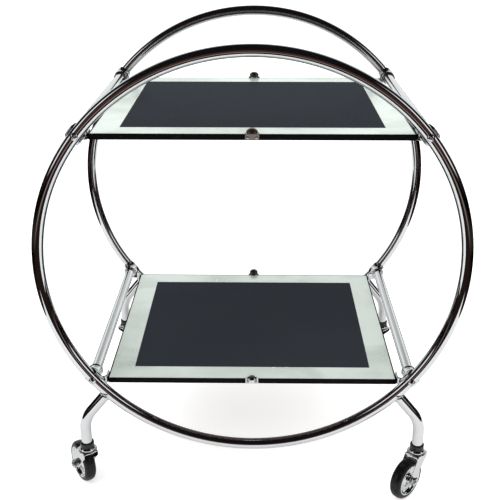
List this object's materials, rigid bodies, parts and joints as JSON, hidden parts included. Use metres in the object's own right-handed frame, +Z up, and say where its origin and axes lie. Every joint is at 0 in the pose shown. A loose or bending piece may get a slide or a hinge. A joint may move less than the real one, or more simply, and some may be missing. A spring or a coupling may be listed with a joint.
{
  "type": "bar cart",
  "caption": "Round bar cart: two chrome tube hoops joined by cross tubes carry framed black glass shelves with mirror borders, on bent legs with swivel casters.",
  "frame": {"origin": "on the floor, under the middle of the cart's bounding box", "axes": "+X to the right along the hoops' width, +Y from the front hoop to the rear hoop, +Z up"},
  "size_m": [0.699, 0.5544, 0.7835],
  "materials": {
    "chrome_tube": "bright chrome plate on steel tube",
    "chrome_fitting": "bright chrome plate, cast and formed fittings",
    "knob_chrome": "dark nickel-chrome, polished",
    "frame_black": "gloss black enamel on rolled angle",
    "backing_board": "dark stained hardboard",
    "mirror_border": "silvered glass with a faint green tint",
    "black_glass": "opaque blue-black glass, gloss",
    "bright_steel": "turned steel",
    "rubber_pad": "matt black rubber",
    "black_plastic": "moulded black nylon, satin",
    "caster_chrome": "chrome plate on pressed steel",
    "zinc_steel": "zinc-plated fasteners",
    "hub_steel": "bright plated pressed disc",
    "tyre_rubber": "black rubber, satin",
    "nylon": "natural nylon"
  },
  "bodies": {
    "cart": {"bracket_rivets": "chrome_fitting", "caster_stems": "bright_steel", "clip_knobs": "knob_chrome", "clip_pads": "rubber_pad", "clip_screws": "chrome_fitting", "front_hoop": "chrome_tube", "front_left_leg": "chrome_tube", "front_left_leg_socket": "black_plastic", "front_right_leg": "chrome_tube", "front_right_leg_socket": "black_plastic", "glass_clips": "chrome_fitting", "hoop_bolts": "chrome_fitting", "lower_backing_board": "backing_board", "lower_centre_panel": "black_glass", "lower_left_cross_tube": "chrome_tube", "lower_mirror_border": "mirror_border", "lower_right_cross_tube": "chrome_tube", "lower_shelf_frame": "frame_black", "rear_hoop": "chrome_tube", "rear_left_leg": "chrome_tube", "rear_left_leg_socket": "black_plastic", "rear_right_leg": "chrome_tube", "rear_right_leg_socket": "black_plastic", "saddles": "chrome_fitting", "shelf_brackets": "chrome_fitting", "swivel_balls": "bright_steel", "swivel_cups": "caster_chrome", "threaded_plugs": "bright_steel", "upper_backing_board": "backing_board", "upper_centre_panel": "black_glass", "upper_left_cross_tube": "chrome_tube", "upper_mirror_border": "mirror_border", "upper_right_cross_tube": "chrome_tube", "upper_shelf_frame": "frame_black"},
    "front_left_swivel": {"front_left_fork": "caster_chrome", "front_left_axle_bolt": "zinc_steel", "front_left_axle_nut": "zinc_steel"},
    "front_left_wheel": {"front_left_hub": "hub_steel", "front_left_tyre": "tyre_rubber", "front_left_bush": "nylon"},
    "front_right_swivel": {"front_right_fork": "caster_chrome", "front_right_axle_bolt": "zinc_steel", "front_right_axle_nut": "zinc_steel"},
    "front_right_wheel": {"front_right_hub": "hub_steel", "front_right_tyre": "tyre_rubber", "front_right_bush": "nylon"},
    "rear_left_swivel": {"rear_left_fork": "caster_chrome", "rear_left_axle_bolt": "zinc_steel", "rear_left_axle_nut": "zinc_steel"},
    "rear_left_wheel": {"rear_left_hub": "hub_steel", "rear_left_tyre": "tyre_rubber", "rear_left_bush": "nylon"},
    "rear_right_swivel": {"rear_right_fork": "caster_chrome", "rear_right_axle_bolt": "zinc_steel", "rear_right_axle_nut": "zinc_steel"},
    "rear_right_wheel": {"rear_right_hub": "hub_steel", "rear_right_tyre": "tyre_rubber", "rear_right_bush": "nylon"}
  },
  "joints": [
    {"name": "front_left_caster_swivel", "type": "hinge", "parent": "cart", "child": "front_left_swivel", "pos_m": [-0.29001, -0.225, 0.0805], "axis": [0, 0, 1], "continuous": true},
    {"name": "front_left_wheel_spin", "type": "hinge", "parent": "front_left_swivel", "child": "front_left_wheel", "pos_m": [-0.3055, -0.20288, 0.0375], "axis": [-0.8192, -0.5736, 0], "continuous": true},
    {"name": "front_right_caster_swivel", "type": "hinge", "parent": "cart", "child": "front_right_swivel", "pos_m": [0.29001, -0.225, 0.0805], "axis": [0, 0, 1], "continuous": true},
    {"name": "front_right_wheel_spin", "type": "hinge", "parent": "front_right_swivel", "child": "front_right_wheel", "pos_m": [0.27125, -0.24442, 0.0375], "axis": [0.7193, -0.6947, 0], "continuous": true},
    {"name": "rear_left_caster_swivel", "type": "hinge", "parent": "cart", "child": "rear_left_swivel", "pos_m": [-0.29001, 0.225, 0.0805], "axis": [0, 0, 1], "continuous": true},
    {"name": "rear_left_wheel_spin", "type": "hinge", "parent": "rear_left_swivel", "child": "rear_left_wheel", "pos_m": [-0.27125, 0.24442, 0.0375], "axis": [-0.7193, 0.6947, 0], "continuous": true},
    {"name": "rear_right_caster_swivel", "type": "hinge", "parent": "cart", "child": "rear_right_swivel", "pos_m": [0.29001, 0.225, 0.0805], "axis": [0, 0, 1], "continuous": true},
    {"name": "rear_right_wheel_spin", "type": "hinge", "parent": "rear_right_swivel", "child": "rear_right_wheel", "pos_m": [0.27125, 0.24442, 0.0375], "axis": [-0.7193, -0.6947, 0], "continuous": true}
  ]
}
